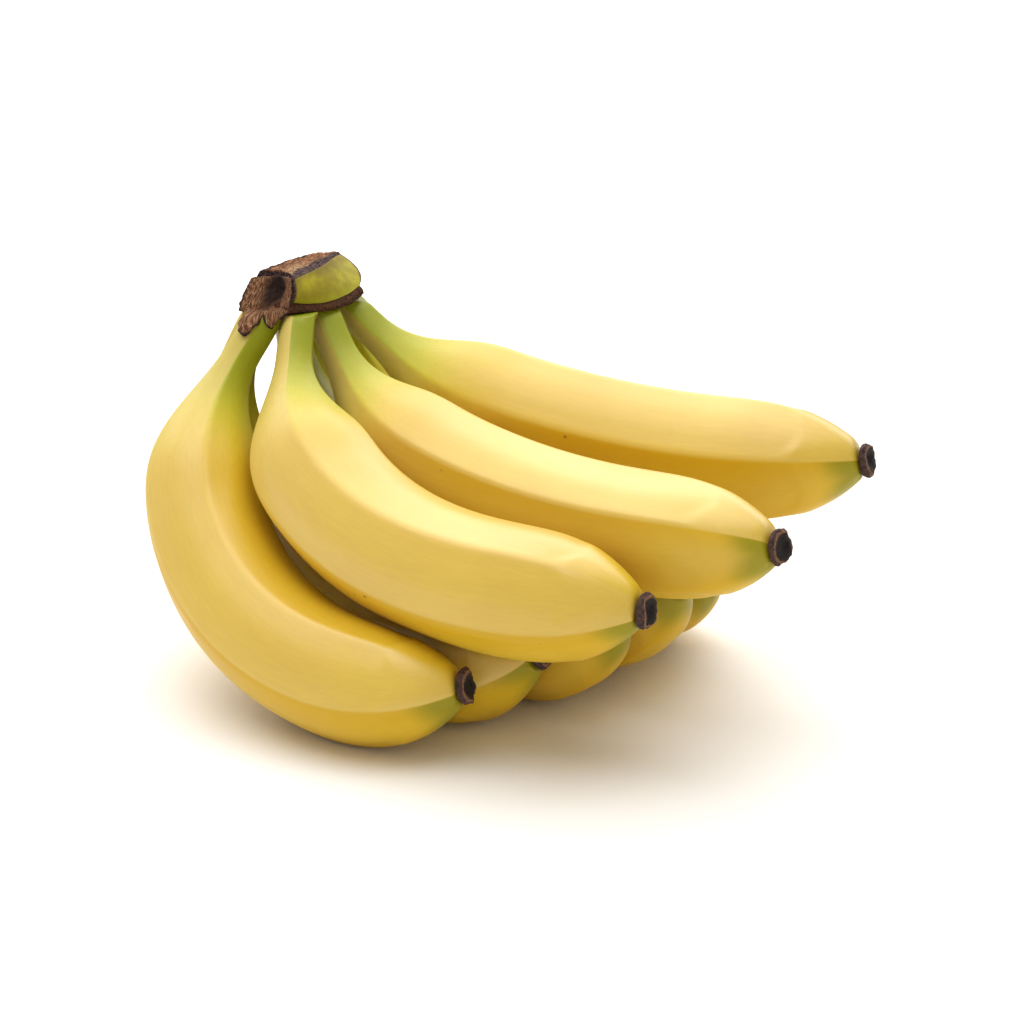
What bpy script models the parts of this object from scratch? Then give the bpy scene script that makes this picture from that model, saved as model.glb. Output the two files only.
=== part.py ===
"""A bunch of eight bananas that grew as two rows on one crown, lying on a table.

Everything is worked out in millimetres and turned into metres as each mesh is made. The crown
lies high at the left, the fruit hang down from it and curl forward, and the lower row rests on
the table. Fruit that touch press each other flat, as ripe fruit do.
"""

import math
from collections import namedtuple

import bmesh
import bpy
import numpy as np
from mathutils import Matrix

MM = 0.001
GAP = 0.5
SEAT_GAP = 0.35

# The crown: its place over the table, the way its long side runs, and its size.
CROWN_PLACE = np.array([-68.0, 60.0, 111.0])
CROWN_TURN = 41.0
CROWN_LENGTH = 43.0
CROWN_WIDTH = 22.0
CROWN_HEIGHT = 13.5
CROWN_FRONT_DROP = 2.5
CROWN_END_CLOSING = 0.35
CROWN_SQUARENESS = 1.7
CROWN_RINGS = 13
CROWN_SIDES = 20

# One fruit, from its seat under the crown to its blossom end.
NECK_RADIUS = 6.2
NECK_STRAIGHT = 17.7
NECK_LEVELLED = 26.0
SHOULDER = 0.24
TIP_RADIUS = 5.6
TIP_TAPER = 46.4
TIP_FULLNESS = 2.95
KINK_END = 0.42
RIDGES = 5
RIDGE_HEIGHT = 0.05
RIDGES_FROM_NECK = 0.3
RIDGES_TO_TIP = 0.12
FRUIT_RINGS = 28
FRUIT_SIDES = 20
RING_CROWDING = 0.35
SPINE_POINTS = 97
PRESS_SOFTNESS = 1.6
PRESS_STEPS = 40
PRESS_START = 0.15
PRESS_EASE = 0.5
PRESS_REACH = 2.0

# The dried flower remnant at the end of each fruit.
BLOSSOM_GAP = 0.3
BLOSSOM_SIDES = 14
BLOSSOM_PROFILE = ((BLOSSOM_GAP, 4.6), (1.4, 5.3), (3.0, 5.7), (5.0, 4.9), (4.7, 3.3), (3.4, 1.6))
BLOSSOM_FLOOR = 3.2
BLOSSOM_LOBES = ((3.0, 0.05), (5.0, 0.03))

# seat: along and across the crown. heading and rise: the way the blossom end points. bend: how
# far the fruit curls, with kink more at the neck, and sway more in its first half than its
# second. lean: how far the plane of the curl tips over. twist: where the ridges run.
Fruit = namedtuple("Fruit", "name seat heading rise bend kink sway lean twist length radius")
FRUIT = (
    Fruit("banana_1_front_low", (-15.9, 4.4), -18, 14, 123, 10, 2, 37, 12, 192, 19.8),
    Fruit("banana_2_front_top", (-9.0, 9.4), -27, 3, 54, 23, 8, 41, -6, 188, 20.5),
    Fruit("banana_3_middle_top", (2.6, 5.3), -35, 10, 37, 29, 1, 13, 4, 197, 19.1),
    Fruit("banana_4_back_top", (14.5, 0.8), -22, 10, 36, 15, -1, 6, -8, 188, 19.8),
    Fruit("banana_5_second_low", (-9.8, -7.1), -29, 28, 116, 34, 0, 19, 20, 211, 19.4),
    Fruit("banana_6_third_low", (-1.0, -7.9), -42, 39, 140, -13, -6, 0, -14, 194, 19.5),
    Fruit("banana_7_fourth_low", (9.1, -8.0), -55, 44, 136, 35, -8, -18, 8, 222, 19.5),
    Fruit("banana_8_fifth_low", (19.5, -8.0), -63, 24, 124, 23, 2, -34, -6, 214, 19.5),
)

PEEL = ("peel", (0.80, 0.55, 0.10), 0.45)
CROWN_SKIN = ("crown_skin", (0.16, 0.10, 0.05), 0.85)
DRIED_FLOWER = ("dried_flower", (0.05, 0.03, 0.02), 0.90)


def clear_scene():
    for old in list(bpy.data.objects):
        bpy.data.objects.remove(old, do_unlink=True)


def material(name, colour, roughness):
    made = bpy.data.materials.get(name)
    if made is None:
        made = bpy.data.materials.new(name)
        made.use_nodes = True
        shader = made.node_tree.nodes["Principled BSDF"]
        shader.inputs["Base Color"].default_value = (*colour, 1.0)
        shader.inputs["Roughness"].default_value = roughness
        shader.inputs["Metallic"].default_value = 0.0
        made.diffuse_color = (*colour, 1.0)
    return made


def unit(vector):
    return vector / np.linalg.norm(vector)


def smooth_step(value):
    value = np.clip(value, 0.0, 1.0)
    return value * value * (3.0 - 2.0 * value)


def crown_axes():
    turn = math.radians(CROWN_TURN)
    along = np.array([math.cos(turn), math.sin(turn), 0.0])
    across = np.array([math.sin(turn), -math.cos(turn), 0.0])
    return along, across, np.array([0.0, 0.0, 1.0])


def crown_point(along, across, above):
    u, v, w = crown_axes()
    return CROWN_PLACE + u * along + v * across + w * above


def spine(fruit, at):
    """Points and directions along the middle of a fruit, where at runs from 0 to 1."""
    heading = math.radians(fruit.heading)
    rise = math.radians(fruit.rise)
    lean = math.radians(fruit.lean)
    flat = np.array([math.cos(heading), math.sin(heading), 0.0])
    end = flat * math.cos(rise) + np.array([0.0, 0.0, math.sin(rise)])
    up = np.array([0.0, 0.0, math.cos(rise)]) - flat * math.sin(rise)
    inward = up * math.cos(lean) + np.cross(up, end) * math.sin(lean)
    fine = np.linspace(0.0, 1.0, SPINE_POINTS)
    curl = fruit.bend * (1.0 - fine) + fruit.kink * (1.0 - smooth_step(fine / KINK_END))
    curl = np.radians(curl + fruit.sway * np.sin(2.0 * math.pi * fine))
    ways = np.cos(curl)[:, None] * end - np.sin(curl)[:, None] * inward
    step = fruit.length / (SPINE_POINTS - 1)
    run = np.vstack([np.zeros(3), np.cumsum((ways[1:] + ways[:-1]) * 0.5 * step, axis=0)])
    points = crown_point(*fruit.seat, -SEAT_GAP) + run
    side = np.cross(inward, end)
    return (
        np.stack([np.interp(at, fine, points[:, k]) for k in range(3)], axis=1),
        np.stack([np.interp(at, fine, ways[:, k]) for k in range(3)], axis=1),
        unit(side),
    )


def girth(fruit, at):
    """The radius of a fruit along its length: neck, shoulder, body and blunt taper."""
    run = at * fruit.length
    swell = smooth_step((run - NECK_STRAIGHT) / (SHOULDER * fruit.length))
    body = NECK_RADIUS + (fruit.radius - NECK_RADIUS) * swell
    left = np.clip((fruit.length - run) / TIP_TAPER, 0.0, 1.0)
    taper = TIP_RADIUS + (fruit.radius - TIP_RADIUS) * (1.0 - (1.0 - left) ** TIP_FULLNESS)
    return np.minimum(body, taper)


def fruit_stations():
    """Places of the rings, closer together towards both ends."""
    even = np.linspace(0.0, 1.0, FRUIT_RINGS)
    return even - RING_CROWDING * np.sin(2.0 * math.pi * even) / (2.0 * math.pi)


def soft_smaller(first, second, softness):
    """The smaller of two values, with the corner between them rounded."""
    mix = np.clip(0.5 + 0.5 * (second - first) / softness, 0.0, 1.0)
    return second * (1.0 - mix) + first * mix - softness * mix * (1.0 - mix)


def outside(spots, tube):
    """How far spots lie outside a round tube, given as points with a radius at each."""
    points, radii = tube
    return (np.linalg.norm(spots[..., None, :] - points, axis=-1) - radii).min(axis=-1)


def pressed(centres, ways_out, wanted, own, others):
    """Shortens each spoke of a ring where the fruit would run into a neighbour."""
    allowed = wanted.copy()
    reach = wanted.max(axis=1) + PRESS_REACH
    share = np.linspace(PRESS_START, 1.0, PRESS_STEPS)[:, None]
    for other in others:
        for ring in np.nonzero(outside(centres, other) < reach)[0]:
            tries = share * wanted[ring]
            spots = centres[ring] + tries[..., None] * ways_out[ring]
            room = outside(spots, other) - outside(spots, own) - GAP
            for side in range(room.shape[1]):
                short = np.nonzero(room[:, side] < 0.0)[0]
                if len(short) == 0:
                    limit = wanted[ring, side] + room[-1, side] * PRESS_EASE
                elif short[0] == 0:
                    limit = tries[0, side]
                else:
                    last = short[0] - 1
                    part = room[last, side] / (room[last, side] - room[last + 1, side])
                    limit = tries[last, side] + part * (tries[last + 1, side] - tries[last, side])
                now = allowed[ring, side]
                allowed[ring, side] = soft_smaller(now, limit, PRESS_SOFTNESS)
    return allowed


def fruit_rings(fruit, own, others):
    """The rings of one fruit: a soft five-sided section, pressed flat by its neighbours."""
    at = fruit_stations()
    centres, ways, side = spine(fruit, at)
    radius = girth(fruit, at)
    angles = np.arange(FRUIT_SIDES) * 2.0 * math.pi / FRUIT_SIDES
    body = smooth_step(at / RIDGES_FROM_NECK) * smooth_step((1.0 - at) / RIDGES_TO_TIP)
    ripple = np.cos(RIDGES * angles)
    spokes = radius[:, None] * (1.0 + RIDGE_HEIGHT * body[:, None] * ripple[None])
    turned = angles + math.radians(fruit.twist)
    rings_out = np.empty((FRUIT_RINGS, FRUIT_SIDES, 3))
    for ring in range(FRUIT_RINGS):
        way = unit(ways[ring])
        inner = unit(np.cross(way, side))
        around = np.outer(np.cos(turned), inner) + np.outer(np.sin(turned), side)
        level = 1.0 - smooth_step(at[ring] * fruit.length / NECK_LEVELLED)
        rings_out[ring] = around - np.outer(around[:, 2] / way[2] * level, way)
    spokes = pressed(centres, rings_out, spokes, own, others)
    rings = centres[:, None, :] + spokes[..., None] * rings_out
    rings[..., 2] = np.maximum(rings[..., 2], 0.0)
    return rings, centres, ways


def closed_mesh(name, rings, caps):
    """A closed body from rings of points, with one point closing each end."""
    rows, sides = rings.shape[:2]
    mesh = bpy.data.meshes.new(name)
    shape = bmesh.new()
    verts = [[shape.verts.new(point * MM) for point in ring] for ring in rings]
    for row in range(rows - 1):
        for k in range(sides):
            after = (k + 1) % sides
            shape.faces.new((verts[row][k], verts[row][after], verts[row + 1][after], verts[row + 1][k]))
    for cap, ring, turned in ((caps[0], verts[0], True), (caps[1], verts[-1], False)):
        middle = shape.verts.new(cap * MM)
        for k in range(sides):
            pair = (ring[k], ring[(k + 1) % sides])
            shape.faces.new((middle, *(reversed(pair) if turned else pair)))
    bmesh.ops.triangulate(shape, faces=list(shape.faces), quad_method="SHORT_EDGE")
    bmesh.ops.recalc_face_normals(shape, faces=list(shape.faces))
    shape.to_mesh(mesh)
    shape.free()
    mesh.shade_smooth()
    mesh.set_sharp_from_angle(angle=math.radians(40))
    return mesh


def add_object(name, mesh, look):
    obj = bpy.data.objects.new(name, mesh)
    mesh.materials.append(material(*look))
    bpy.context.scene.collection.objects.link(obj)
    return obj


def make_fruit():
    fine = np.linspace(0.0, 1.0, SPINE_POINTS)
    tubes = [(spine(fruit, fine)[0], girth(fruit, fine)) for fruit in FRUIT]
    for index, fruit in enumerate(FRUIT):
        others = [tube for k, tube in enumerate(tubes) if k != index]
        rings, centres, ways = fruit_rings(fruit, tubes[index], others)
        mesh = closed_mesh(fruit.name, rings, (centres[0], centres[-1]))
        add_object(fruit.name, mesh, PEEL)
        make_blossom_end(index + 1, centres[-1], unit(ways[-1]))


def make_blossom_end(number, place, way):
    """A short dried stub with a swollen, uneven rim and a hollow middle."""
    side = unit(np.cross(way, np.array([0.0, 0.0, 1.0])))
    up = np.cross(side, way)
    angles = np.arange(BLOSSOM_SIDES) * 2.0 * math.pi / BLOSSOM_SIDES
    uneven = 1.0 + sum(size * np.cos(count * angles + number) for count, size in BLOSSOM_LOBES)
    around = np.outer(np.cos(angles), side) + np.outer(np.sin(angles), up)
    rings = np.array(
        [place + way * out + around * (uneven * radius)[:, None] for out, radius in BLOSSOM_PROFILE]
    )
    caps = (place + way * BLOSSOM_GAP, place + way * BLOSSOM_FLOOR)
    name = f"blossom_end_{number}"
    add_object(name, closed_mesh(name, rings, caps), DRIED_FLOWER)


def make_crown():
    """The cut crown: a bulging block that sinks and narrows towards its torn front end."""
    places = np.linspace(-1.0, 1.0, CROWN_RINGS)
    angles = np.arange(CROWN_SIDES) * 2.0 * math.pi / CROWN_SIDES
    rounding = 1.0 / CROWN_SQUARENESS
    cosines = np.sign(np.cos(angles)) * np.abs(np.cos(angles)) ** rounding
    sines = np.sign(np.sin(angles)) * np.abs(np.sin(angles)) ** rounding
    rings = []
    for place in places:
        close = 1.0 - abs(place) ** 4 * CROWN_END_CLOSING
        wide = CROWN_WIDTH * 0.5 * close
        high = (CROWN_HEIGHT - CROWN_FRONT_DROP * (1.0 - place) * 0.5) * 0.5
        middle = high * close ** 0.5
        ring = [
            crown_point(place * CROWN_LENGTH * 0.5, wide * c, high + middle * s)
            for c, s in zip(cosines, sines)
        ]
        rings.append(ring)
    rings = np.array(rings)
    caps = (rings[0].mean(axis=0), rings[-1].mean(axis=0))
    add_object("crown", closed_mesh("crown", rings, caps), CROWN_SKIN)


def centre_on_table():
    """Moves everything sideways, so that the middle of the bunch's footprint is the origin."""
    meshes = [obj.data for obj in bpy.context.scene.collection.objects]
    corners = np.array([vert.co for mesh in meshes for vert in mesh.vertices])
    middle = (corners.min(axis=0) + corners.max(axis=0)) * 0.5
    for mesh in meshes:
        mesh.transform(Matrix.Translation((-middle[0], -middle[1], 0.0)))


clear_scene()
make_fruit()
make_crown()
centre_on_table()
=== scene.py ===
"""The looks of a bunch of eight bananas, laid out as an add-on and run as a script.

The frame holds one plain solid for each fruit, for each dried blossom end and for the cut crown.
The operators here make the finished pieces: peels with soft ridges, hollow dried blossom ends,
and a cut crown with a torn end, each with its own procedural material.
"""

import math

import bmesh
import bpy
import numpy as np
from bpy.props import FloatProperty, FloatVectorProperty, IntProperty, PointerProperty
from bpy.types import Operator, Panel, PropertyGroup
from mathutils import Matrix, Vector, noise
from mathutils.bvhtree import BVHTree


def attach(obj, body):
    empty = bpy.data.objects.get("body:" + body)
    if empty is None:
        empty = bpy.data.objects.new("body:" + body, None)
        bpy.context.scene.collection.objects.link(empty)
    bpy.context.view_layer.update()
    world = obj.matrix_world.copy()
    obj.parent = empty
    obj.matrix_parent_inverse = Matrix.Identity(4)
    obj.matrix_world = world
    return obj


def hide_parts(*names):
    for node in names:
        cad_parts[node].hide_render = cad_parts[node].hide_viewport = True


bl_info = {
    "name": "Banana Bunch",
    "version": (1, 0, 0),
    "blender": (4, 5, 0),
    "location": "3D View > Sidebar > Banana Bunch",
    "description": "Finishes a bunch of bananas: peels, crown, blossom ends and a stage",
    "category": "Add Mesh",
}

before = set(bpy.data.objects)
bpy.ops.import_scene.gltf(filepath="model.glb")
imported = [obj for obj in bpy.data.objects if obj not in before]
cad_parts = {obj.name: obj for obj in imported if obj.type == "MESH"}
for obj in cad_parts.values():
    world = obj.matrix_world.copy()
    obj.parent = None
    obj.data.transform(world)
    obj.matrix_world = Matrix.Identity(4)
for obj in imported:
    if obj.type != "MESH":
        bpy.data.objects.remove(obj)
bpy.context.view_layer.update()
MM = 0.001
FRUIT = sorted(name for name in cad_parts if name.startswith("banana"))
BLOSSOMS = sorted(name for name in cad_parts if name.startswith("blossom"))

# Every fruit has five ridges, evenly spaced round it. All angles round a fruit are in radians.
RIDGES = 5
RIDGE_STEP = 2.0 * math.pi / RIDGES
HALF_STEP = RIDGE_STEP * 0.5

# How the middle line of a fruit is found in its plain solid: from the flat top of its neck on, in
# slices this long, leaving out what a neighbour presses in by more than this.
CORE_POINTS = 600
CORE_STATIONS = 44
CORE_PASSES = 5
NECK_TOP = 0.05 * MM
SLICE_REACH = 7.0 * MM
PRESSED_IN = 0.35 * MM

# The ripple that a plain solid already has, as a share of its radius, and the shares of a fruit's
# length over which it grows from the neck and fades at the tip.
RIPPLE = 0.05
RIPPLE_FROM_NECK = 0.3
RIPPLE_TO_TIP = 0.12

# Where the carving of the facets fades: into the tip, where a neighbour presses in, and close to
# the crown and to the blossom end.
FULL_TIP = 9.0 * MM
SHALLOW_TIP = 5.0 * MM
PRESSED_FADE = 1.0 * MM
NECK_FADE = 3.0 * MM
TIP_FADE = 1.0 * MM

# The share of a half facet beside a ridge over which the colour turns from one facet's to the next.
FACET_EDGE = 0.16

# A dried blossom end: its length as a share of its solid's, the height over which the crumpling
# grows, and the radii between which painted shade darkens its hollow.
FRUIT_END = 12.0 * MM
BLOSSOM_LENGTH = 0.64
CRUMPLE_HEIGHT = 2.5 * MM
HOLLOW_FROM = 4.9 * MM
HOLLOW_BLEND = 1.8 * MM

# The crown's long axis is turned by this many degrees from the X axis.
CROWN_TURN = 41.0

# The cut block of the crown, in mm, at six places from its torn end to its living end: where its
# front and back walls stand, and how far along and how high its upper and lower edges lie.
FRONT_ABOVE = (11.0, 9.2, 7.2, 3.6, -1.8, -7.4)
FRONT_BELOW = (10.6, 11.2, 11.4, 11.0, 9.6, 7.0)
BACK_ABOVE = (-7.0, -8.2, -8.8, -9.2, -9.2, -8.6)
BACK_BELOW = (-9.5, -10.5, -10.8, -10.6, -10.2, -9.0)
ALONG_ABOVE = (-12.6, -6.2, 0.4, 7.2, 13.8, 20.2)
ALONG_BELOW = (-13.4, -7.2, -1.2, 5.0, 11.2, 17.4)
HIGH_EDGE = (10.9, 11.7, 12.5, 13.2, 13.2, 12.3)
LOW_EDGE = (3.4, 2.1, 1.5, 1.8, 2.7, 4.2)

# The block is shaped from a cube from -1 to 1, whose lowest part is the dried rim.
BLOCK_CUTS = 15
RIM_TOP = -0.75
RIM_DEPTH = 0.25

# How far, in mm, the rim stands out and hangs down, the walls and the end bulge, and the torn end
# is sunk in.
RIM_LEDGE = 2.3
RIM_DROP = 2.6
FRONT_BULGE = 1.6
BACK_BULGE = 1.2
END_BULGE = 2.6
TORN_DENT = 4.5

# The torn end of the crown, in mm along, across and above the crown's underside: rows from its
# top edge down to its ragged edge, each from the far side to the near side.
TORN_ROWS = (
    ((-17.2, -5.2, 9.8), (-14.6, -1.2, 10.4), (-11.6, 3.0, 10.6), (-12.0, 7.2, 11.0), (-12.6, 11.0, 11.2)),
    ((-20.6, -4.2, 6.2), (-16.2, -0.2, 6.6), (-11.0, 3.8, 6.6), (-12.8, 8.4, 7.0), (-13.4, 11.8, 7.0)),
    ((-24.0, -2.8, 2.4), (-20.2, 1.4, 2.0), (-14.6, 5.2, 1.8), (-15.6, 9.4, 2.0), (-14.8, 12.4, 2.0)),
    ((-25.2, -1.5, -1.5), (-24.5, 2.6, -2.5), (-21.2, 6.4, -2.2), (-19.0, 10.0, -2.2), (-16.6, 13.0, -1.4)),
    ((-26.2, -1.2, -7.0), (-26.0, 2.4, -9.2), (-23.0, 6.0, -8.0), (-20.3, 9.6, -7.5), (-17.6, 13.4, -6.0)),
)
# How far down those rows the sheet goes, at places from its far side to its near side.
TORN_EDGE = (
    (0.00, 0.12, 0.16, 0.20, 0.32, 0.37, 0.50, 0.58, 0.66, 0.82, 1.00),
    (0.62, 0.66, 0.70, 0.84, 1.00, 0.95, 0.76, 0.81, 0.85, 0.74, 0.60),
)
TORN_CELLS = 40
TORN_SHEET = 0.8 * MM
TORN_SIDE = -1.0
# How far the sheet is kept off the peels, before and after it gets its thickness.
TORN_ROOM = 1.1 * MM
TORN_REST = 0.15 * MM

# The places, aims and sizes of the two soft lights, in metres.
OVERHEAD_AT = (-0.20, 0.10, 1.30)
OVERHEAD_AIM = (-0.05, 0.0, 0.0)
OVERHEAD_SIZE = (1.6, 1.6)
BEHIND_AT = (0.0, 2.2, 1.5)
BEHIND_AIM = (0.0, 2.2, 0.0)
BEHIND_SIZE = (5.0, 2.5)


# ---------------------------------------------------------------------------- shader maths


class Wire:
    """One output of a node, with + and * adding Math nodes to its material."""

    def __init__(self, look, socket):
        self.look = look
        self.socket = socket

    def __add__(self, other):
        return self.look.maths("ADD", self, other)

    __radd__ = __add__

    def __mul__(self, other):
        return self.look.maths("MULTIPLY", self, other)

    __rmul__ = __mul__


class Look:
    """A procedural material on one Principled surface."""

    def __init__(self, name, **surface):
        self.material = bpy.data.materials.new(name)
        self.material.use_nodes = True
        self.tree = self.material.node_tree
        self.surface = self.tree.nodes["Principled BSDF"]
        for socket, value in surface.items():
            self.surface.inputs[socket.replace("_", " ")].default_value = value

    def node(self, kind, settings=None, inputs=None, output=0):
        """Adds a node and gives one of its outputs."""
        made = self.tree.nodes.new("ShaderNode" + kind)
        for name, value in (settings or {}).items():
            setattr(made, name, value)
        for name, value in (inputs or {}).items():
            self.feed(made.inputs[name], value)
        return Wire(self, made.outputs[output])

    def feed(self, socket, value):
        """Links a wire to a socket, or sets the socket to a fixed value."""
        if isinstance(value, Wire):
            self.tree.links.new(value.socket, socket)
        elif socket.type == "RGBA":
            socket.default_value = (*value, 1.0)
        else:
            socket.default_value = value

    def finish(self, **inputs):
        """Feeds the surface and gives the finished material."""
        for name, value in inputs.items():
            self.feed(self.surface.inputs[name.replace("_", " ")], value)
        return self.material

    def maths(self, operation, *values):
        """One step of arithmetic."""
        return self.node("Math", {"operation": operation}, dict(enumerate(values)))

    def larger(self, first, second):
        """The larger of two values."""
        return self.maths("MAXIMUM", first, second)

    def rise(self, value, low, high, to_low=0.0, to_high=1.0):
        """A soft step of value, from to_low at low to to_high at high."""
        inputs = {0: value, 1: low, 2: high, 3: to_low, 4: to_high}
        return self.node("MapRange", {"interpolation_type": "SMOOTHSTEP"}, inputs)

    def fall(self, value, low, high, to_high=0.0):
        """A soft step of value, from 1 at low down to to_high at high."""
        return self.rise(value, low, high, 1.0, to_high)

    def paint(self, factor, under, over, blend="MIX"):
        """A colour laid over another as far as factor says."""
        settings = {"data_type": "RGBA", "blend_type": blend}
        return self.node("Mix", settings, {0: factor, 6: under, 7: over}, output=2)

    def place(self):
        """The place on the object, in metres."""
        return self.node("TexCoord", output="Object")

    def attribute(self, name, output="Fac"):
        """A value that note() kept with the mesh."""
        return self.node("Attribute", {"attribute_name": name}, output=output)

    def split(self, vector):
        """The three parts of a vector."""
        parts = self.node("SeparateXYZ", inputs={0: vector}).socket.node
        return [Wire(self, parts.outputs[axis]) for axis in "XYZ"]

    def joined(self, first, second, third):
        """A vector or a colour of three parts."""
        return self.node("CombineXYZ", inputs={0: first, 1: second, 2: third})

    def stretched(self, vector, scale):
        """A place with each of its parts scaled."""
        return self.node("Mapping", inputs={"Vector": vector, "Scale": scale})

    def noise(self, vector, scale, detail=2.0, roughness=0.5):
        """A cloudy pattern, with scale clouds to the metre."""
        inputs = {"Vector": vector, "Scale": scale, "Detail": detail, "Roughness": roughness}
        return self.node("TexNoise", inputs=inputs)

    def cells(self, vector, scale):
        """The distance to the nearest of many scattered points."""
        return self.node("TexVoronoi", inputs={"Vector": vector, "Scale": scale})

    def bump(self, height, distance, strength):
        """A surface direction that follows a height, distance being its depth in metres."""
        inputs = {"Height": height, "Distance": distance, "Strength": strength}
        return self.node("Bump", inputs=inputs)


# ------------------------------------------------------------------------------- settings


class PeelSettings(PropertyGroup):
    """The shape and the colours of the peels"""

    flatness: FloatProperty(
        name="Facet flatness",
        description="How far the middle of a facet sinks below its ridges, as a share",
        default=0.11,
        min=0.0,
        max=0.2,
    )
    rounding: FloatProperty(
        name="Ridge rounding",
        description="How far each side of a ridge is rounded, as an angle round the fruit",
        default=math.radians(2.2),
        subtype="ANGLE",
        unit="ROTATION",
    )
    fineness: IntProperty(
        name="Fineness",
        description="How often each face of the plain solid is halved",
        default=3,
        min=1,
        max=3,
    )
    ripe: FloatVectorProperty(
        name="Ripe",
        description="Golden skin over most of the fruit",
        subtype="COLOR",
        default=(0.70, 0.475, 0.022),
    )
    deep: FloatVectorProperty(
        name="Deep",
        description="Warmer patches in the golden skin",
        subtype="COLOR",
        default=(0.66, 0.425, 0.015),
    )
    lime: FloatVectorProperty(
        name="Lime",
        description="Unripe skin on the shoulders",
        subtype="COLOR",
        default=(0.52, 0.49, 0.035),
    )
    green: FloatVectorProperty(
        name="Green",
        description="Unripe skin on the necks",
        subtype="COLOR",
        default=(0.28, 0.31, 0.010),
    )
    # Painted shade: this colour deepens the facets that look down, most just below the ridges.
    shade: FloatVectorProperty(
        name="Shade",
        description="Deep golden skin below the ridges",
        subtype="COLOR",
        default=(0.63, 0.375, 0.007),
    )
    # Painted sheen: this colour pales the facets that look left, standing in for a reflection of light from
    # that side.
    painted_left_sheen: FloatVectorProperty(
        name="Peach",
        description="Paler skin on the side that ripened away from the sun",
        subtype="COLOR",
        default=(0.72, 0.52, 0.16),
    )
    tip: FloatVectorProperty(
        name="Tip",
        description="Unripe skin beside the blossom ends, below the ridge",
        subtype="COLOR",
        default=(0.30, 0.26, 0.008),
    )
    speck: FloatVectorProperty(
        name="Speck",
        description="Small bruises and ripening spots",
        subtype="COLOR",
        default=(0.16, 0.08, 0.02),
    )


class CrownSettings(PropertyGroup):
    """The colours of the crown and of its torn end"""

    olive: FloatVectorProperty(
        name="Olive",
        description="Living skin of the cut block",
        subtype="COLOR",
        default=(0.42, 0.375, 0.020),
    )
    dull: FloatVectorProperty(
        name="Dull",
        description="Darker mottling in the living skin",
        subtype="COLOR",
        default=(0.29, 0.245, 0.016),
    )
    bright: FloatVectorProperty(
        name="Bright",
        description="Living skin close to the rim",
        subtype="COLOR",
        default=(0.42, 0.42, 0.022),
    )
    bark: FloatVectorProperty(
        name="Bark",
        description="Dried red-brown skin",
        subtype="COLOR",
        default=(0.105, 0.038, 0.012),
    )
    # Also used for the painted shade in the hollow of the tear.
    dark: FloatVectorProperty(
        name="Dark",
        description="Blackened edges and the hollow of the tear",
        subtype="COLOR",
        default=(0.022, 0.011, 0.009),
    )
    slate: FloatVectorProperty(
        name="Slate",
        description="Grey dried skin beside the cut",
        subtype="COLOR",
        default=(0.135, 0.085, 0.085),
    )
    flesh: FloatVectorProperty(
        name="Flesh",
        description="Terracotta fibres",
        subtype="COLOR",
        default=(0.36, 0.165, 0.085),
    )
    cream: FloatVectorProperty(
        name="Cream",
        description="Palest fibres",
        subtype="COLOR",
        default=(0.60, 0.42, 0.22),
    )


class BlossomSettings(PropertyGroup):
    """The colours of the dried blossom ends"""

    husk: FloatVectorProperty(
        name="Husk",
        description="Purple-brown dried flower",
        subtype="COLOR",
        default=(0.095, 0.046, 0.040),
    )
    ash: FloatVectorProperty(
        name="Ash",
        description="Darker patches of the dried flower",
        subtype="COLOR",
        default=(0.035, 0.020, 0.018),
    )
    # Partly the tan of the dried edges, partly a painted highlight on the rim.
    rust: FloatVectorProperty(
        name="Rust",
        description="Tan and rust edges of the dried flower",
        subtype="COLOR",
        default=(0.30, 0.155, 0.080),
    )
    # Painted shade in the hollow of the dried flower.
    hollow: FloatVectorProperty(
        name="Hollow",
        description="Depth of the hollow in the dried flower",
        subtype="COLOR",
        default=(0.004, 0.003, 0.003),
    )


class StageSettings(PropertyGroup):
    """The camera and the light"""

    elevation: FloatProperty(
        name="Elevation",
        description="How high the camera stands over the horizon",
        default=math.radians(18.0),
        subtype="ANGLE",
        unit="ROTATION",
    )
    distance: FloatProperty(
        name="Distance",
        description="From the camera to the point it aims at",
        default=0.70,
        unit="LENGTH",
    )
    aim: FloatVectorProperty(
        name="Aim",
        description="From below the middle of the crown to the point that the camera looks at",
        subtype="TRANSLATION",
        unit="LENGTH",
        default=(0.068, -0.060, 0.058),
    )
    lens: FloatProperty(
        name="Lens",
        description="Focal length on a 36 mm wide sensor",
        default=79.4,
        subtype="DISTANCE_CAMERA",
    )
    overhead: FloatProperty(
        name="Overhead",
        description="Power of the large light overhead",
        default=18.0,
        subtype="POWER",
    )
    behind: FloatProperty(
        name="Behind",
        description="Power of the wide light high behind the bunch",
        default=90.0,
        subtype="POWER",
    )
    surround: FloatProperty(
        name="Surround",
        description="Brightness of the surroundings",
        default=0.56,
    )
    fill: FloatVectorProperty(
        name="Fill",
        description="Colour of the surroundings, which light the shadows",
        subtype="COLOR",
        default=(1.0, 0.93, 0.82),
    )


# ----------------------------------------------------------------------------- modelling


def nothing_selected():
    """Leaves edit mode and deselects every object."""
    if bpy.context.object and bpy.context.object.mode != "OBJECT":
        bpy.ops.object.mode_set(mode="OBJECT")
    bpy.ops.object.select_all(action="DESELECT")


def only(piece):
    """Makes a piece the only selected object, and the active one."""
    nothing_selected()
    piece.select_set(True)
    bpy.context.view_layer.objects.active = piece


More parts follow.
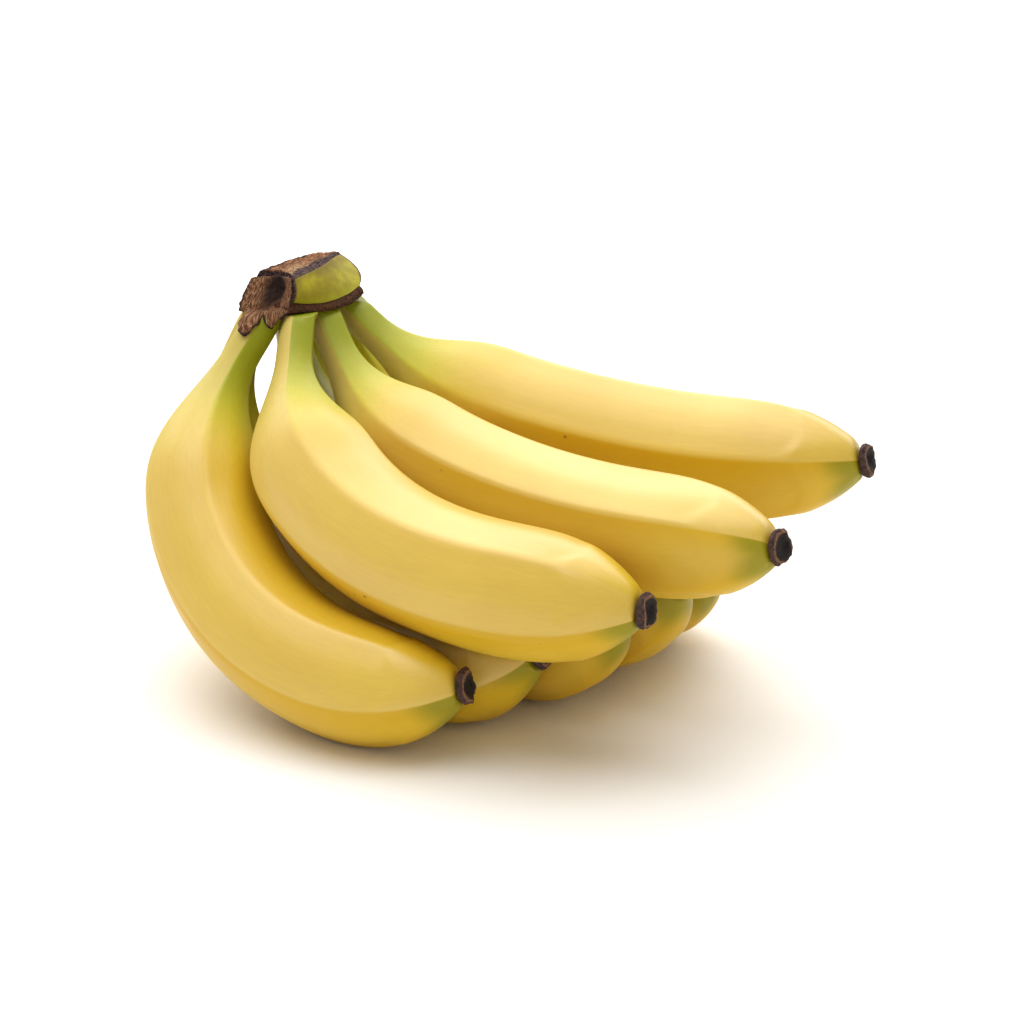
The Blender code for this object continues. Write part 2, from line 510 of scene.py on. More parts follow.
def copy_of_node(name, piece_name):
    """A merged copy of a solid of the frame, selected and active."""
    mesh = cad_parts[name].data.copy()
    mesh.name = piece_name
    piece = bpy.data.objects.new(piece_name, mesh)
    bpy.context.scene.collection.objects.link(piece)
    only(piece)
    mesh.materials.clear()
    for extra in ("custom_normal", "sharp_edge", "sharp_face"):
        if extra in mesh.attributes:
            mesh.attributes.remove(mesh.attributes[extra])
    bpy.ops.object.mode_set(mode="EDIT")
    bpy.ops.mesh.select_all(action="SELECT")
    bpy.ops.mesh.remove_doubles(threshold=0.02 * MM)
    bpy.ops.object.mode_set(mode="OBJECT")
    return piece


def crease_sharp_edges(sharpness, crease):
    """In edit mode, keeps the edges that turn more than sharpness from being smoothed away."""
    bpy.ops.mesh.select_mode(type="EDGE")
    bpy.ops.mesh.select_all(action="DESELECT")
    bpy.ops.mesh.edges_select_sharp(sharpness=math.radians(sharpness))
    bpy.ops.transform.edge_crease(value=crease)


def apply_modifier(piece, kind, **settings):
    """Adds a modifier with these settings and applies it."""
    modifier = piece.modifiers.new(kind.title(), kind)
    for name, value in settings.items():
        setattr(modifier, name, value)
    only(piece)
    bpy.ops.object.modifier_apply(modifier=modifier.name)


def subdivide(piece, levels):
    """Halves every face, levels times over, and smooths the shape."""
    apply_modifier(piece, "SUBSURF", levels=levels, render_levels=levels)


def vectors(items, field):
    """A field of three numbers of every item, one row for each."""
    found = np.empty(len(items) * 3)
    items.foreach_get(field, found)
    return found.reshape(-1, 3)


def points_of(mesh):
    """The places of a mesh's points, one row for each."""
    return vectors(mesh.vertices, "co")


def move_points(mesh, points):
    """Puts the points of a mesh at these places."""
    mesh.vertices.foreach_set("co", points.astype(np.float32).ravel())
    mesh.update()


def note(mesh, name, values):
    """Keeps values with the mesh as an attribute that its material reads."""
    vector = values.ndim == 2
    made = mesh.attributes.new(name, "FLOAT_VECTOR" if vector else "FLOAT", "POINT")
    made.data.foreach_set("vector" if vector else "value", values.astype(np.float32).ravel())


def smooth_step(value):
    """From 0 to 1 with soft ends, as value goes from 0 to 1."""
    value = np.clip(value, 0.0, 1.0)
    return value * value * (3.0 - 2.0 * value)


def crown_middle():
    """The middle of the underside of the crown's plain solid."""
    points = points_of(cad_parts["crown"].data)
    low, high = points.min(axis=0), points.max(axis=0)
    return np.array([(low[0] + high[0]) * 0.5, (low[1] + high[1]) * 0.5, low[2]])


def uneven(points, size, seed):
    """A smooth random value between about -1 and 1 at each point."""
    shift = Vector((seed, 2.0 * seed, -seed))
    return np.array([noise.noise(Vector(point / size) + shift) for point in points])


def finish_piece(piece, look, slot, *nodes):
    """Gives a piece its material, and puts it on the bunch in the place of its solids."""
    piece.data.materials.append(look)
    only(piece)
    bpy.ops.object.shade_smooth()
    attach(piece, "root")
    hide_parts(*nodes)
    nothing_selected()


# ---------------------------------------------------------------------------------- peels


class Core:
    """The middle line of a fruit and its width along it, read from the fruit's plain solid."""

    def __init__(self, mesh):
        points = points_of(mesh)
        self.line = resampled(smoothed(self.first_guess(mesh, points), 2))
        self.side = np.linalg.svd(self.line - self.line.mean(axis=0))[2][2]
        self.turn = 0.0
        for _ in range(CORE_PASSES):
            self.along, angle, out, _ = self.straightened(points)
            reach = np.linalg.norm(out, axis=1)
            self.stations = np.linspace(0.0, self.length, CORE_STATIONS)
            fits = [self.slice_fit(place, angle, reach) for place in self.stations]
            found = np.array([fit for fit, _ in fits])
            trust = np.array([free for _, free in fits])[:, None] ** 4
            found = smoothed(found * trust, 3) / smoothed(trust, 3)
            at = np.linspace(0.0, self.length, len(self.line))
            across, sideways = (np.interp(at, self.stations, found[:, k]) for k in (1, 2))
            inner = np.cross(ways_of(self.line), self.side)
            moved = self.line + inner * across[:, None] + self.side * sideways[:, None]
            self.line = resampled(smoothed(moved, 6))
        ripple = found[:, 3] + 1j * found[:, 4]
        self.girth = found[:, 0] + np.abs(ripple)
        body = slice(len(ripple) // 4, len(ripple) * 3 // 4)
        self.turn = float(np.angle((ripple * trust[:, 0])[body].sum())) / RIDGES

    @property
    def length(self):
        """The length of the middle line."""
        return float(np.linalg.norm(np.diff(self.line, axis=0), axis=1).sum())

    @staticmethod
    def first_guess(mesh, points):
        """The middles of sets of points, each set one edge further from the top of the neck."""
        shape = bmesh.new()
        shape.from_mesh(mesh)
        top = max(vert.co.z for vert in shape.verts)
        front = [vert for vert in shape.verts if vert.co.z > top - NECK_TOP]
        seen = set(front)
        middles = []
        while front:
            middles.append(points[[vert.index for vert in front]].mean(axis=0))
            after = []
            for vert in front:
                for edge in vert.link_edges:
                    other = edge.other_vert(vert)
                    if other not in seen:
                        seen.add(other)
                        after.append(other)
            front = after
        shape.free()
        return np.array(middles)

    def slice_fit(self, place, angle, reach):
        """Radius, sideways shift and ripple of a slice, leaving out what a neighbour pressed in."""
        near = np.abs(self.along - place) < SLICE_REACH
        turn, out, ahead = angle[near], reach[near], self.along[near] - place
        waves = [np.cos(turn), np.sin(turn), np.cos(RIDGES * turn), np.sin(RIDGES * turn)]
        terms = np.stack([np.ones_like(out), *waves, ahead / SLICE_REACH], axis=1)
        calm = np.diag([0.0, 1.0, 1.0, 1.5, 1.5, 1.0])
        weight = np.ones(len(out))
        for _ in range(8):
            rows = np.vstack([terms * weight[:, None], calm])
            found = np.linalg.lstsq(rows, np.append(out * weight, np.zeros(6)), rcond=None)[0]
            free = out - terms @ found > -PRESSED_IN
            weight = np.where(free, 1.0, 0.05)
        return found, free.mean()

    def straightened(self, points):
        """Each point's distance along, angle from the first ridge, way out, and way along."""
        ways = ways_of(self.line)
        at = np.linspace(0.0, self.length, len(self.line))
        nearest = np.empty(len(points), int)
        for start in range(0, len(points), 4000):
            part = points[start : start + 4000]
            gaps = ((part[:, None, :] - self.line[None]) ** 2).sum(axis=2)
            nearest[start : start + 4000] = gaps.argmin(axis=1)
        way = ways[nearest]
        out = points - self.line[nearest]
        further = (out * way).sum(axis=1)
        out = out - way * further[:, None]
        inner = np.cross(way, self.side)
        angle = np.arctan2(out @ self.side, (out * inner).sum(axis=1)) - self.turn
        return at[nearest] + further, angle, out, way


def ways_of(line):
    """The direction of a polyline at each of its points."""
    ways = np.gradient(line, axis=0)
    return ways / np.linalg.norm(ways, axis=1)[:, None]


def resampled(line):
    """The same line with its points evenly spaced."""
    steps = np.linalg.norm(np.diff(line, axis=0), axis=1)
    at = np.concatenate([[0.0], np.cumsum(steps)])
    even = np.linspace(0.0, at[-1], CORE_POINTS)
    return np.stack([np.interp(even, at, part) for part in line.T], axis=1)


def smoothed(line, reach):
    """A polyline with its corners rounded, its two ends kept."""
    weights = np.hanning(2 * reach + 3)[1:-1]
    weights /= weights.sum()
    before = 2.0 * line[0] - line[reach:0:-1]
    after = 2.0 * line[-1] - line[-2 : -reach - 2 : -1]
    padded = np.vstack([before, line, after])
    return np.stack([np.convolve(part, weights, mode="valid") for part in padded.T], axis=1)


def angle_to_ridge(angle):
    """The angle from each place round a fruit to its nearest ridge."""
    return np.abs((angle + HALF_STEP) % RIDGE_STEP - HALF_STEP)


def facet_profile(angle, flatness, rounding):
    """How far out a five-sided section reaches, as a share of its reach at the ridges.

    Each facet is an arc. Its centre lies back from the fruit's middle, on the facet's far side.
    """
    soft = np.sqrt(angle_to_ridge(angle) ** 2 + rounding**2)
    soft = soft * HALF_STEP / np.hypot(HALF_STEP, rounding)
    chord = math.sin(HALF_STEP)
    middle = 1.0 - flatness
    sagitta = middle - math.cos(HALF_STEP)
    bow = (chord**2 + sagitta**2) / (2.0 * sagitta)
    back = bow - middle
    turn = HALF_STEP - soft
    return -back * np.cos(turn) + np.sqrt(bow**2 - (back * np.sin(turn)) ** 2)


def carve_peel(mesh, core, settings):
    """Moves the fine points inwards, so that the fruit has flat facets between its ridges."""
    points = points_of(mesh)
    along, angle, out, way = core.straightened(points)
    reach = np.linalg.norm(out, axis=1)
    length = core.length
    from_tip = length - along
    full = np.interp(along, core.stations, core.girth)

    # The plain solid's ripple, and how much fuller the ridges have to be where it fades early.
    body = smooth_step(along / length / RIPPLE_FROM_NECK)
    at_tip = body * smooth_step((1.0 - along / length) / RIPPLE_TO_TIP)
    plain = (1.0 + RIPPLE * at_tip * np.cos(RIDGES * angle)) / (1.0 + RIPPLE * at_tip)
    fuller = (1.0 + RIPPLE * body) / (1.0 + RIPPLE * at_tip)
    fuller = 1.0 + (fuller - 1.0) * smooth_step(from_tip / FULL_TIP)
    faceted = facet_profile(angle, settings.flatness, settings.rounding) * fuller

    # The facets fade where a neighbour presses in and at both ends.
    pressed_in = full * plain - reach - PRESSED_IN
    depth = smooth_step(1.0 - pressed_in / PRESSED_FADE)
    depth *= 0.5 + 0.5 * smooth_step(from_tip / SHALLOW_TIP)
    depth *= smooth_step(along / NECK_FADE) * smooth_step(from_tip / TIP_FADE)
    share = 1.0 - depth * np.clip(1.0 - faceted / plain, 1.0 - fuller, None)
    move_points(mesh, points - out * (1.0 - share)[:, None])

    # What the material reads: places on the straightened fruit, and which way each facet looks.
    from_ridge = angle_to_ridge(angle) / HALF_STEP
    to_middle = (np.floor(angle / RIDGE_STEP) + 0.5) * RIDGE_STEP - angle
    to_middle = (to_middle * smooth_step(from_ridge / FACET_EDGE))[:, None]
    facet = out * np.cos(to_middle) - np.cross(way, out) * np.sin(to_middle)
    facet /= np.maximum(reach, 1e-6)[:, None]
    note(mesh, "straight", np.stack([np.cos(angle) * full, np.sin(angle) * full, along], axis=1))
    note(mesh, "ridge", from_ridge)
    note(mesh, "from_tip", from_tip)
    note(mesh, "facet_up", facet[:, 2])
    note(mesh, "facet_left", -facet[:, 0])


def make_peel(node, settings, look):
    """A peel: the fruit's plain solid made fine, with facets carved between its ridges."""
    piece = copy_of_node(node, node.replace("banana", "peel"))
    core = Core(piece.data)
    bpy.ops.object.mode_set(mode="EDIT")
    bpy.ops.mesh.select_all(action="SELECT")
    bpy.ops.mesh.tris_convert_to_quads(topology_influence=1.0)
    crease_sharp_edges(55.0, 1.0)
    bpy.ops.object.mode_set(mode="OBJECT")
    subdivide(piece, settings.fineness)
    carve_peel(piece.data, core, settings)
    finish_piece(piece, look, "peel", node)


def peel_look(settings):
    """Golden skin with green ends, fine grain and a few specks, with a painted sheen on the facets that
    look left and painted shade on the facets that look down.
    """
    look = Look("peel", Specular_IOR_Level=0.2, Coat_Roughness=0.36, Coat_IOR=1.65)
    place = look.place()
    straight = look.attribute("straight", "Vector")
    _, _, along = look.split(straight)
    ridge = look.attribute("ridge")
    from_tip = look.attribute("from_tip")
    facet_up = look.attribute("facet_up")
    facet_left = look.attribute("facet_left")
    patches = look.noise(place, 22.0, 3.0, 0.55)
    grain = look.noise(look.stretched(straight, (1.0, 1.0, 0.12)), 900.0, 3.0, 0.6)

    # From the golden body to the lime shoulders and the green necks.
    colour = look.paint(look.rise(patches, 0.35, 0.7), tuple(settings.ripe), tuple(settings.deep))
    lime = look.fall(along + patches * 0.03, 0.040, 0.085)
    colour = look.paint(lime, colour, tuple(settings.lime))
    green = look.fall(along + patches * 0.02, 0.018, 0.052)
    colour = look.paint(green, colour, tuple(settings.green))

    # Painted sheen: the facets that look left are paled, most of all on the necks, in place of a reflection
    # of light from the left; and the grain along the fruit.
    pale = look.rise(facet_left, 0.12, 0.6) * look.rise(along, 0.02, 0.1, 0.7, 0.4)
    colour = look.paint(pale, colour, tuple(settings.painted_left_sheen))
    fine = look.rise(grain, 0.3, 0.7, 0.97, 1.02)
    colour = look.paint(1.0, colour, look.joined(fine, fine, fine), "MULTIPLY")

    # Painted shade: the facets that look down are deepened in colour, most just below the ridges; and the
    # green wedge before the blossom end.
    below = look.fall(facet_up, 0.0, 0.35) * 0.75 * look.fall(ridge, 0.0, 0.9, 0.4)
    colour = look.paint(below * look.rise(along, 0.05, 0.1), colour, tuple(settings.shade))
    wedge = look.fall(from_tip + patches * 0.006 + ridge * 0.003, 0.007, 0.016)
    wedge = wedge * look.fall(facet_up, -0.05, 0.25, 0.12)
    colour = look.paint(wedge * 0.95, colour, tuple(settings.tip))

    # A few small specks, most of them close to a ridge.
    chance = look.noise(place, 31.0, 2.0)
    speck = look.fall(look.cells(place, 160.0), 0.05, 0.11) * look.rise(chance, 0.52, 0.60)
    speck = speck * look.fall(ridge, 0.1, 0.35, 0.15)
    colour = look.paint(speck * 0.75, colour, tuple(settings.speck))

    rough = look.rise(patches, 0.3, 0.7, 0.38, 0.5)
    gloss = look.rise(along, 0.03, 0.08, 0.15, 1.0) * look.rise(facet_up, -0.1, 0.5, 0.06, 1.0)
    normal = look.bump(look.noise(place, 260.0, 3.0, 0.6) + grain * 0.5, 0.00012, 0.5)
    return look.finish(Base_Color=colour, Roughness=rough, Coat_Weight=gloss, Normal=normal)


class BUNCH_OT_peels(Operator):
    """Makes the eight peels, with ridges, facets and ripening colours"""

    bl_idname = "bunch.peels"
    bl_label = "Make Peels"

    def execute(self, context):
        settings = context.scene.bunch_peels
        look = peel_look(settings)
        for node in FRUIT:
            make_peel(node, settings, look)
        return {"FINISHED"}


# -------------------------------------------------------------------------- blossom ends


def blossom_look(settings):
    """Dark, mottled husk with tan edges that carry a painted highlight, and painted shade in its hollow."""
    look = Look("dried_flower", Specular_IOR_Level=0.3)
    place = look.place()
    mottle = look.noise(place, 700.0, 4.0, 0.65)
    flecks = look.noise(place, 1900.0, 3.0, 0.7)
    colour = look.paint(look.rise(mottle, 0.35, 0.65), tuple(settings.ash), tuple(settings.husk))
    # Tan dried edges at the rim, lightened further as a painted highlight.
    edge = look.rise(look.attribute("rim") + mottle * 0.8, 0.95, 1.25)
    edge = edge * look.rise(flecks, 0.42, 0.56, 0.15, 0.9)
    colour = look.paint(edge, colour, tuple(settings.rust))
    # Painted shade: the hollow darkens to near black.
    hollow = look.rise(look.attribute("painted_hollow_shade") + mottle * 0.3, 0.35, 0.75)
    colour = look.paint(hollow * 0.93, colour, tuple(settings.hollow))
    normal = look.bump(mottle + flecks * 0.5, 0.0009, 0.8)
    rough = look.rise(flecks, 0.3, 0.7, 0.6, 0.95)
    return look.finish(Base_Color=colour, Roughness=rough, Normal=normal)


def make_blossom_end(node, look):
    """The dried flower: shrunk back to the fruit, crumpled round its rim and hollow."""
    piece = copy_of_node(node, node.replace("blossom_end", "dried_blossom"))
    mesh = piece.data
    number = int(node.rsplit("_", 1)[1])

    # Its axis is the direction in which the solid is thinnest, pointing away from the fruit.
    points = points_of(mesh)
    middle = points.mean(axis=0)
    fruit = points_of(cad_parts[FRUIT[number - 1]].data)
    gaps = np.linalg.norm(fruit - middle, axis=1)
    near = fruit[gaps < gaps.min() + FRUIT_END].mean(axis=0)
    way = np.linalg.svd(points - middle)[2][2]
    way = way * np.sign((middle - near) @ way)

    subdivide(piece, 3)
    points = points_of(mesh)
    height = (points - middle) @ way
    base = height.min()
    far = height - base
    out = points - middle - np.outer(height, way)
    crumple = smooth_step(far / CRUMPLE_HEIGHT)
    coarse = uneven(points, 3.2 * MM, number)
    fine = uneven(points, 1.1 * MM, number + 0.5)
    wide = 1.0 + crumple * (0.13 * coarse + 0.05 * fine - 0.03)
    long = BLOSSOM_LENGTH + crumple * (0.24 * uneven(points, 4.5 * MM, -number) + 0.05 * fine)
    move_points(mesh, middle + out * wide[:, None] + np.outer(base + far * long, way))
    top = far / far.max()
    painted_hollow_shade = smooth_step((HOLLOW_FROM - np.linalg.norm(out, axis=1)) / HOLLOW_BLEND)
    note(mesh, "painted_hollow_shade", painted_hollow_shade * smooth_step(top * 4.0 - 1.4))
    note(mesh, "rim", smooth_step((top - 0.72) / 0.28))
    finish_piece(piece, look, "blossom_end", node)


class BUNCH_OT_blossom_ends(Operator):
    """Makes the dried blossom ends"""

    bl_idname = "bunch.blossom_ends"
    bl_label = "Make Blossom Ends"

    def execute(self, context):
        look = blossom_look(context.scene.bunch_blossoms)
        for node in BLOSSOMS:
            make_blossom_end(node, look)
        return {"FINISHED"}


# ---------------------------------------------------------------------------------- crown


def crown_places(along, across, above):
    """Points from distances along, across and above the underside of the crown, in mm."""
    turn = math.radians(CROWN_TURN)
    axis = np.array([math.cos(turn), math.sin(turn), 0.0])
    forward = np.array([math.sin(turn), -math.cos(turn), 0.0])
    up = np.array([0.0, 0.0, 1.0])
    spots = np.outer(along, axis) + np.outer(across, forward) + np.outer(above, up)
    return crown_middle() + spots * MM


def curve(at, *knots):
    """Values at places from 0 to 1 on a soft curve through evenly spaced knots."""
    even = np.linspace(0.0, 1.0, len(knots))
    fine = np.linspace(0.0, 1.0, 200)
    line = smoothed(np.interp(fine, even, knots)[:, None], 14)[:, 0]
    return np.interp(at, fine, line)


def kept_off(points, room):
    """Points moved outwards where they would lie in a fruit or closer to it than room."""
    moved = points.copy()
    for node in FRUIT:
        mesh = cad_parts[node].data
        corners = [vert.co for vert in mesh.vertices]
        tree = BVHTree.FromPolygons(corners, [face.vertices for face in mesh.polygons])
        for k, point in enumerate(moved):
            spot, normal, _, gap = tree.find_nearest(Vector(point), 20.0 * MM)
            if spot is None:
                continue
            out = (Vector(point) - spot).dot(normal)
            if out < -0.9 * gap or gap < room[k]:
                moved[k] = spot + normal * room[k]
    return moved


def crumbled(mesh, coarse, fine, share=1.0):
    """Points moved in and out by two sizes of unevenness, each a size, a depth in mm and a seed."""
    points = points_of(mesh)
    depth = sum(deep * uneven(points, size * MM, seed) for size, deep, seed in (coarse, fine))
    return points + vectors(mesh.vertices, "normal") * (depth * share * MM)[:, None]


def crown_look(settings):
    """Olive skin on the sides, dried skin at the rim and ends, and pale fibres in the cut top."""
    look = Look("crown_skin", Specular_IOR_Level=0.2)
    place = look.place()
    end, depth, height = look.split(look.attribute("form", "Vector"))
    fine = look.noise(place, 1500.0, 3.0, 0.7)
    coarse = look.noise(place, 160.0, 3.0, 0.6)
    speckle = look.noise(place, 900.0, 4.0, 0.75)

    # Living skin: mottled, brighter towards the rim and browner towards the cut.
    olive = look.paint(look.rise(coarse, 0.35, 0.65), tuple(settings.olive), tuple(settings.dull))
    olive = look.paint(look.rise(fine, 0.42, 0.62) * 0.35, olive, tuple(settings.dull))
    low = look.fall(height + coarse * 0.5, -0.45, 0.15)
    olive = look.paint(low * 0.55, olive, tuple(settings.bright))
    brown = look.rise(height + coarse * 0.6, 0.75, 1.25)
    olive = look.paint(brown * 0.45, olive, tuple(settings.bark))

    # Dried skin in red-brown and in grey, and the cut fibres.
    bark = look.paint(look.rise(speckle, 0.35, 0.65), tuple(settings.dark), tuple(settings.bark))
    grey = look.paint(look.rise(speckle, 0.4, 0.62), tuple(settings.dark), tuple(settings.slate))
    fibre = look.paint(look.rise(speckle, 0.44, 0.58), tuple(settings.bark), tuple(settings.flesh))
    pale = look.fall(end, -0.75, 0.25) * look.rise(depth, -0.5, 0.3)
    fibre = look.paint(pale * look.rise(fine, 0.4, 0.6) * 0.8, fibre, tuple(settings.cream))

    # The cut top has a grey band along its front and a dark border at its back.
    top = look.paint(look.rise(depth + coarse * 0.2, 0.42, 0.62), fibre, grey)
    top = look.paint(look.fall(depth, -0.86, -0.72) * 0.85, top, tuple(settings.dark))

    cut = look.rise(height, 0.95, 0.985)
    corner = look.fall(end + fine * 0.05, -0.93, -0.87)
    right = look.rise(end + fine * 0.04, 0.97, 1.01)
    rim = look.fall(height, -0.74, -0.71)
    colour = look.paint(corner, olive, grey)
    colour = look.paint(look.larger(rim, right), colour, bark)
    colour = look.paint(cut, colour, top)
    dried = look.larger(look.larger(rim, corner), cut)
    normal = look.bump(speckle * (dried * 0.9 + 0.1) + coarse * 0.3, 0.0011, 0.8)
    rough = look.rise(dried, 0.0, 1.0, 0.55, 0.92)
    return look.finish(Base_Color=colour, Roughness=rough, Normal=normal)


def torn_look(settings):
    """Strands of brown fibre with pale threads, painted shade in its hollow and blackened edges."""
    look = Look("torn_fibre", Specular_IOR_Level=0.25)
    place = look.place()
    across, down, _ = look.split(look.attribute("form", "Vector"))
    bend = look.noise(place, 140.0, 2.0, 0.5)
    strands = look.joined(across * 9.0 + bend * 2.0, down * 1.6, 0.0)
    streak = look.noise(strands, 2.6, 4.0, 0.7)
    speckle = look.noise(place, 1000.0, 3.0, 0.75)
    colour = look.paint(look.rise(streak, 0.40, 0.60), tuple(settings.bark), tuple(settings.flesh))
    threads = look.rise(streak + speckle * 0.4, 0.72, 0.90)
    colour = look.paint(threads * 0.8, colour, tuple(settings.cream))
    # Painted shade: the hollow of the tear darkens to near black.
    hollow = look.rise(look.attribute("hollow") + streak * 0.35, 0.45, 1.0)
    colour = look.paint(hollow * 0.97, colour, tuple(settings.dark))
    edge = look.rise(look.attribute("edge") + speckle * 0.3, 0.75, 1.05)
    colour = look.paint(edge * 0.9, colour, tuple(settings.dark))
    normal = look.bump(streak + speckle * 0.35, 0.0016, 0.9)
    rough = look.rise(speckle, 0.3, 0.7, 0.75, 0.95)
    return look.finish(Base_Color=colour, Roughness=rough, Normal=normal)


def block_places(a, b, c):
    """Where the points of a cube from -1 to 1 go in the crown: a along, b across and c above."""
    end = (a + 1.0) * 0.5
    rim = np.clip((RIM_TOP - c) / RIM_DEPTH, 0.0, 1.0)
    up = np.clip((c - RIM_TOP) / (1.0 - RIM_TOP), 0.0, 1.0)
    bulge = 4.0 * up * (1.0 - up)

    # The walls, bulging between the edges of the cut top and of the rim.
    front = curve(end, *FRONT_ABOVE) * up + curve(end, *FRONT_BELOW) * (1.0 - up)
    back = curve(end, *BACK_ABOVE) * up + curve(end, *BACK_BELOW) * (1.0 - up)
    front += bulge * FRONT_BULGE
    back -= bulge * BACK_BULGE
    across = back + (front - back) * (b + 1.0) * 0.5
    along = curve(end, *ALONG_ABOVE) * up + curve(end, *ALONG_BELOW) * (1.0 - up)
    along += bulge * END_BULGE * np.clip(a, 0.0, None) ** 6

    # The dried rim stands out over the necks, and the torn end is sunk in.
    ledge = smooth_step(rim * 1.6) * RIM_LEDGE
    across += ledge * b**5
    along += ledge * np.clip(a, -1.0, 0.4) ** 5
    dent = np.clip((0.4 - end) / 0.4, 0.0, 1.0) ** 2
    along += TORN_DENT * dent * (1.0 - b**2) * smooth_step(up * 1.6)

    # The cut top is crowned and slightly wavy.
    low = curve(end, *LOW_EDGE)
    above = low + (curve(end, *HIGH_EDGE) - low) * up - bulge * 0.2
    above -= rim * np.minimum(low + 0.6, RIM_DROP)
    wave = 0.35 * np.sin(a * 9.0 + b * 3.0) * (1.0 - b**8) * (1.0 - a**8)
    above += (c > 0.999) * (0.5 * (1.0 - b**2) + wave)
    return crown_places(along, across, above)


def make_crown_block(look):
    """The cut block: a bulging skin, a sloping cut on top and a dried rim over the necks."""
    nothing_selected()
    bpy.ops.mesh.primitive_cube_add(size=2.0)
    piece = bpy.context.object
    piece.name = "cut_crown"
    bpy.ops.object.mode_set(mode="EDIT")
    bpy.ops.mesh.select_all(action="SELECT")
    bpy.ops.mesh.subdivide(number_cuts=BLOCK_CUTS)
    bpy.ops.object.mode_set(mode="OBJECT")
    mesh = piece.data
    form = points_of(mesh)
    room = np.where(form[:, 2] < -0.7, 0.35, 0.2) * MM
    move_points(mesh, kept_off(block_places(*form.T), room))
    note(mesh, "form", form)
    bpy.ops.object.mode_set(mode="EDIT")
    crease_sharp_edges(38.0, 0.75)
    bpy.ops.object.mode_set(mode="OBJECT")
    subdivide(piece, 2)

    # The cut top and the rim are crumbly, and the living skin is nearly smooth.
    height = vectors(mesh.attributes["form"].data, "vector")[:, 2]
    crumbly = 0.25 + 1.75 * np.maximum(height > 0.97, height < -0.73)
    move_points(mesh, crumbled(mesh, (1.6, 0.12, 3.0), (0.7, 0.08, 7.0), crumbly))
    finish_piece(piece, look, "crown", "crown")


def surface_through(rows, down, across):
    """Points of a soft sheet through rows of knots, from the top row down."""
    even = np.linspace(0.0, 1.0, len(rows))
    lines = np.array([[curve(across, *part) for part in zip(*row)] for row in rows])
    found = [
        [np.interp(spot, even, line) for spot, line in zip(down, part.T)]
        for part in lines.transpose(1, 0, 2)
    ]
    return np.array(found)


def make_torn_end(look):
    """The torn end of the crown: a hollow of fibres, hanging over a neck in ragged lobes."""
    nothing_selected()
    cells = {"x_subdivisions": TORN_CELLS, "y_subdivisions": TORN_CELLS}
    bpy.ops.mesh.primitive_grid_add(size=2.0, **cells)
    piece = bpy.context.object
    piece.name = "torn_fibre"
    mesh = piece.data
    a, b, _ = points_of(mesh).T
    across, down = (a + 1.0) * 0.5, (1.0 - b) * 0.5
    ragged = np.interp(across, *TORN_EDGE) + 0.012 * np.sin(across * 67.0 + 1.0)
    points = crown_places(*surface_through(TORN_ROWS, down * ragged, across))
    move_points(mesh, kept_off(points, np.full(len(points), TORN_ROOM)))
    note(mesh, "form", np.stack([a, b, 0.0 * a], axis=1))
    # Where the painted shade of the tear's hollow lies.
    hollow = np.exp(-(((across - 0.50 + 0.1 * down) / 0.26) ** 2) - ((down - 0.25) / 0.46) ** 2)
    note(mesh, "hollow", hollow)
    side = np.maximum(np.abs(a), np.maximum(-b, 0.9 * b))
    note(mesh, "edge", smooth_step((side - 0.80) / 0.2))
    apply_modifier(piece, "SOLIDIFY", thickness=TORN_SHEET, offset=TORN_SIDE)
    subdivide(piece, 1)
    points = crumbled(mesh, (1.3, 0.28, 11.0), (0.6, 0.14, 5.0))
    move_points(mesh, kept_off(points, np.full(len(points), TORN_REST)))
    finish_piece(piece, look, "crown")


class BUNCH_OT_crown(Operator):
    """Makes the cut block of the crown and its torn front end"""

    bl_idname = "bunch.crown"
    bl_label = "Make Crown"

    def execute(self, context):
        settings = context.scene.bunch_crown
        make_crown_block(crown_look(settings))
        make_torn_end(torn_look(settings))
        return {"FINISHED"}


# ---------------------------------------------------------------------------------- stage


def make_floor():
    """A plain white floor, far wider than the view."""
    nothing_selected()
    bpy.ops.mesh.primitive_plane_add(size=6.0)
    floor = bpy.context.object
    floor.name = "floor"
    look = Look("white_floor", Roughness=0.9)
    floor.data.materials.append(look.finish(Base_Color=(0.93, 0.93, 0.93)))
    nothing_selected()


def add_light(name, place, aim, size, power):
    """A soft rectangular light at a place, aimed at another."""
    data = bpy.data.lights.new(name, "AREA")
    data.shape = "RECTANGLE"
    data.size, data.size_y = size
    data.energy = power
    light = bpy.data.objects.new(name, data)
    bpy.context.scene.collection.objects.link(light)
    light.location = place
    light.rotation_euler = (Vector(aim) - Vector(place)).to_track_quat("-Z", "Y").to_euler()


def make_camera(settings):
    """A camera in front of the bunch, looking slightly down on it."""
    data = bpy.data.cameras.new("camera")
    data.lens = settings.lens
    data.sensor_width = 36.0
    camera = bpy.data.objects.new("camera", data)
    bpy.context.scene.collection.objects.link(camera)
    up = settings.elevation
    back = Vector((0.0, -math.cos(up), math.sin(up)))
    middle = crown_middle()
    below = Vector((middle[0], middle[1], 0.0))
    camera.location = below + Vector(settings.aim) + back * settings.distance
    camera.rotation_euler = (-back).to_track_quat("-Z", "Y").to_euler()
    bpy.context.scene.camera = camera


def make_surround(strength, colour):
    """An even, slightly warm light from all round."""
    world = bpy.data.worlds.new("white_room")
    world.use_nodes = True
    shade = world.node_tree.nodes["Background"]
    shade.inputs["Color"].default_value = (*colour, 1.0)
    shade.inputs["Strength"].default_value = strength
    bpy.context.scene.world = world


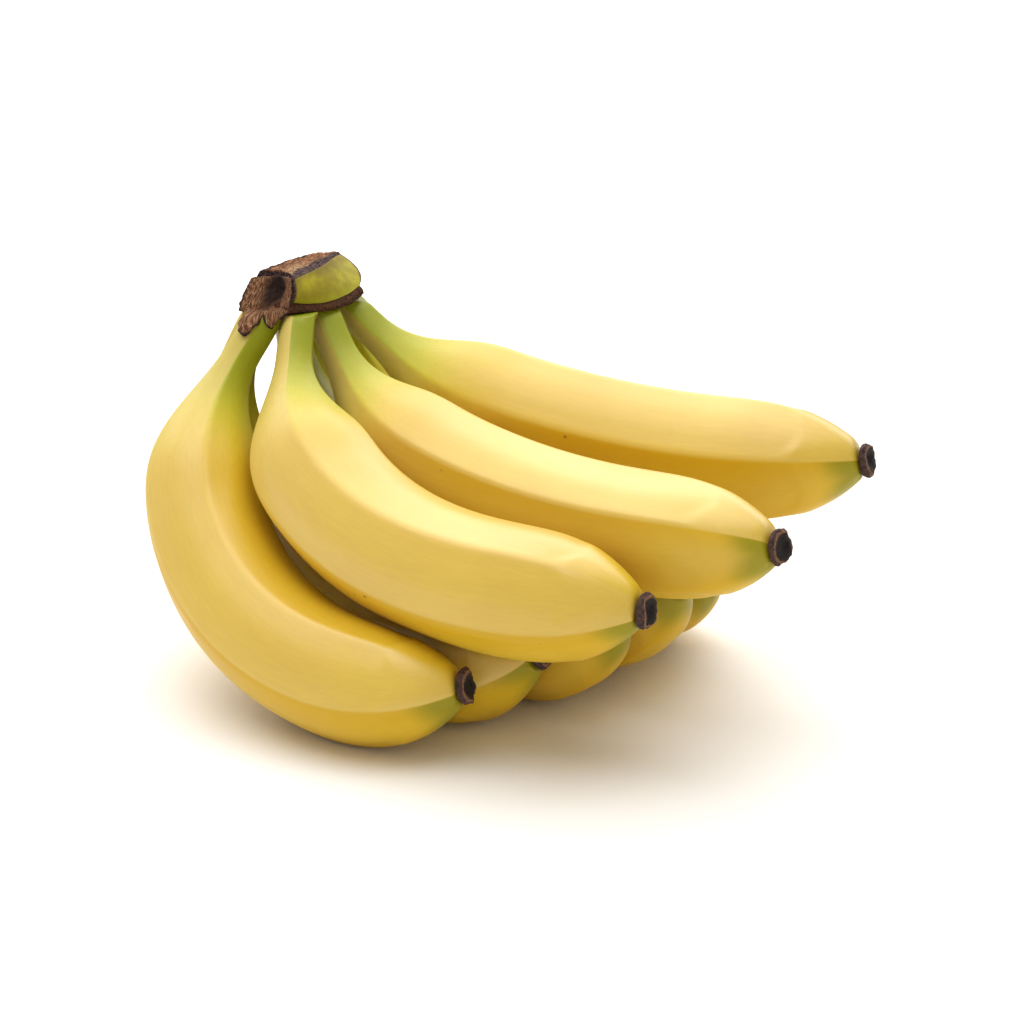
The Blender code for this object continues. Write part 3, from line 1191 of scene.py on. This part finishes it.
class BUNCH_OT_stage(Operator):
    """Makes the white floor, the soft lights and the camera"""

    bl_idname = "bunch.stage"
    bl_label = "Make Stage"

    def execute(self, context):
        settings = context.scene.bunch_stage
        make_floor()
        make_camera(settings)
        make_surround(settings.surround, settings.fill)
        add_light("overhead", OVERHEAD_AT, OVERHEAD_AIM, OVERHEAD_SIZE, settings.overhead)
        add_light("behind", BEHIND_AT, BEHIND_AIM, BEHIND_SIZE, settings.behind)
        context.scene.view_settings.view_transform = "Standard"
        return {"FINISHED"}


# -------------------------------------------------------------------------------- add-on


class BUNCH_PT_panel(Panel):
    """Lists the steps and the settings of the bunch"""

    bl_idname = "BUNCH_PT_panel"
    bl_label = "Banana Bunch"
    bl_space_type = "VIEW_3D"
    bl_region_type = "UI"
    bl_category = "Banana Bunch"

    def draw(self, context):
        for operator, name in STEPS:
            box = self.layout.box()
            box.operator(operator.bl_idname)
            settings = getattr(context.scene, name)
            for prop in settings.bl_rna.properties:
                if prop.identifier not in ("rna_type", "name"):
                    box.prop(settings, prop.identifier)


STEPS = (
    (BUNCH_OT_peels, "bunch_peels"),
    (BUNCH_OT_blossom_ends, "bunch_blossoms"),
    (BUNCH_OT_crown, "bunch_crown"),
    (BUNCH_OT_stage, "bunch_stage"),
)
SETTINGS = {
    "bunch_peels": PeelSettings,
    "bunch_blossoms": BlossomSettings,
    "bunch_crown": CrownSettings,
    "bunch_stage": StageSettings,
}
CLASSES = (*SETTINGS.values(), *(operator for operator, _ in STEPS), BUNCH_PT_panel)


def register():
    """Registers the classes and gives the scene its settings."""
    for made in CLASSES:
        bpy.utils.register_class(made)
    for name, group in SETTINGS.items():
        setattr(bpy.types.Scene, name, PointerProperty(type=group))


def unregister():
    """Takes the settings and the classes away again."""
    for name in SETTINGS:
        delattr(bpy.types.Scene, name)
    for made in reversed(CLASSES):
        bpy.utils.unregister_class(made)


def main():
    """Makes the pieces and the stage."""
    register()
    bpy.ops.bunch.peels()
    bpy.ops.bunch.blossom_ends()
    bpy.ops.bunch.crown()
    bpy.ops.bunch.stage()


if __name__ == "__main__":
    main()
